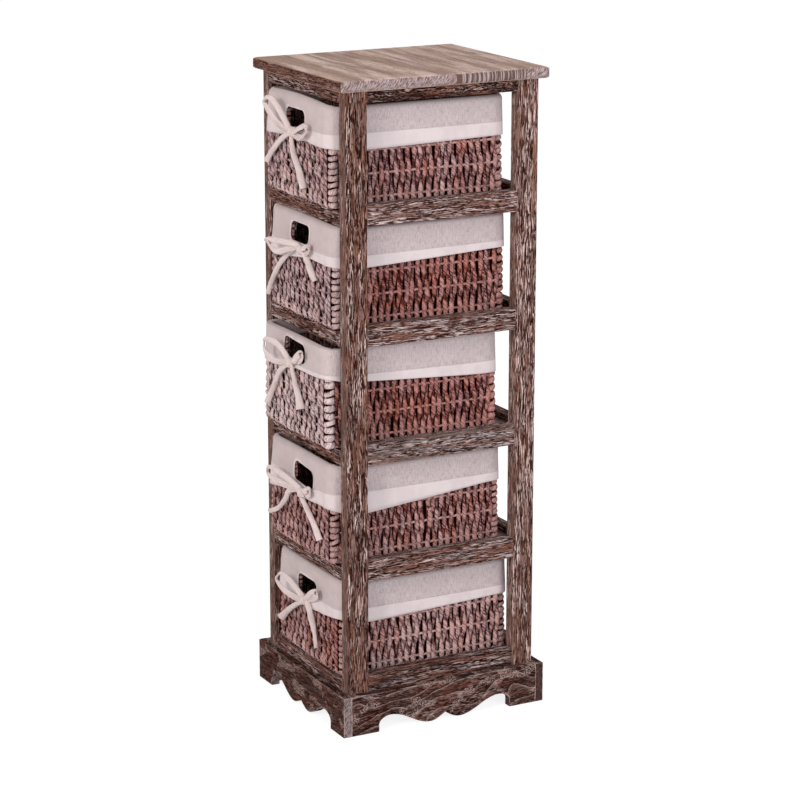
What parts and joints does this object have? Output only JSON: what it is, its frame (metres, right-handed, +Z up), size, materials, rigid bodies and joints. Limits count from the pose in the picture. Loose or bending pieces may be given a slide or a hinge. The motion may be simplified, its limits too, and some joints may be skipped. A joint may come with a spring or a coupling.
{
  "type": "basket chest of drawers",
  "caption": "Tall, narrow open wooden frame on a scalloped plinth, with woven basket drawers that have cloth liners, hand holes and ribbon bows and slide out to the front.",
  "frame": {"origin": "on the floor, under the middle of the object's bounding box (the ribbons reach further forward than the plinth, so the frame's own middle lies 11 mm behind it)", "axes": "+Z up; -Y is the front, which the baskets slide out towards; +X is the right side seen from the front"},
  "size_m": [0.274, 0.3362, 0.9],
  "materials": {
    "limed_wood": "brown stained softwood with a grey-white limed grain, brushed",
    "dark_wood": "dark brown stained softwood with pinkish-grey scuffs",
    "top_wood": "brown softwood panel with a pale limed wash, brushed",
    "plywood": "thin brown stained plywood",
    "beech": "plain beech dowel",
    "steel": "zinc-plated steel",
    "woven_grass": "twisted maize-leaf cord, woven, red-brown to grey-mauve",
    "cloth": "off-white plain-weave cotton",
    "ribbon": "off-white cotton ribbon"
  },
  "bodies": {
    "frame": {"top_board": "top_wood", "top_screws": "steel", "rail_dowels": "beech", "post_front_left": "limed_wood", "post_front_right": "limed_wood", "post_rear_left": "limed_wood", "post_rear_right": "limed_wood", "apron_front": "limed_wood", "apron_rear": "limed_wood", "apron_left": "limed_wood", "apron_right": "limed_wood", "plinth_front": "dark_wood", "plinth_rear": "dark_wood", "plinth_left": "dark_wood", "plinth_right": "dark_wood", "rail_front_1": "limed_wood", "rail_front_2": "limed_wood", "rail_front_3": "limed_wood", "rail_front_4": "limed_wood", "rail_front_5": "limed_wood", "rail_rear_1": "limed_wood", "rail_rear_2": "limed_wood", "rail_rear_3": "limed_wood", "rail_rear_4": "limed_wood", "rail_rear_5": "limed_wood", "rail_left_1": "limed_wood", "rail_left_2": "limed_wood", "rail_left_3": "limed_wood", "rail_left_4": "limed_wood", "rail_left_5": "limed_wood", "rail_right_1": "limed_wood", "rail_right_2": "limed_wood", "rail_right_3": "limed_wood", "rail_right_4": "limed_wood", "rail_right_5": "limed_wood", "shelf_1": "plywood", "shelf_2": "plywood", "shelf_3": "plywood", "shelf_4": "plywood", "shelf_5": "plywood"},
    "drawer_1": {"basket_1": "woven_grass", "liner_1": "cloth", "ribbon_1": "ribbon"},
    "drawer_2": {"basket_2": "woven_grass", "liner_2": "cloth", "ribbon_2": "ribbon"},
    "drawer_3": {"basket_3": "woven_grass", "liner_3": "cloth", "ribbon_3": "ribbon"},
    "drawer_4": {"basket_4": "woven_grass", "liner_4": "cloth", "ribbon_4": "ribbon"},
    "drawer_5": {"basket_5": "woven_grass", "liner_5": "cloth", "ribbon_5": "ribbon"}
  },
  "joints": [
    {"name": "drawer_1_slide", "type": "slide", "parent": "frame", "child": "drawer_1", "axis": [0, -1, 0], "range_m": [-0.013, 0.157]},
    {"name": "drawer_2_slide", "type": "slide", "parent": "frame", "child": "drawer_2", "axis": [0, -1, 0], "range_m": [-0.009, 0.161]},
    {"name": "drawer_3_slide", "type": "slide", "parent": "frame", "child": "drawer_3", "axis": [0, -1, 0], "range_m": [-0.0205, 0.1495]},
    {"name": "drawer_4_slide", "type": "slide", "parent": "frame", "child": "drawer_4", "axis": [0, -1, 0], "range_m": [-0.014, 0.156]},
    {"name": "drawer_5_slide", "type": "slide", "parent": "frame", "child": "drawer_5", "axis": [0, -1, 0], "range_m": [-0.0015, 0.1685]}
  ]
}
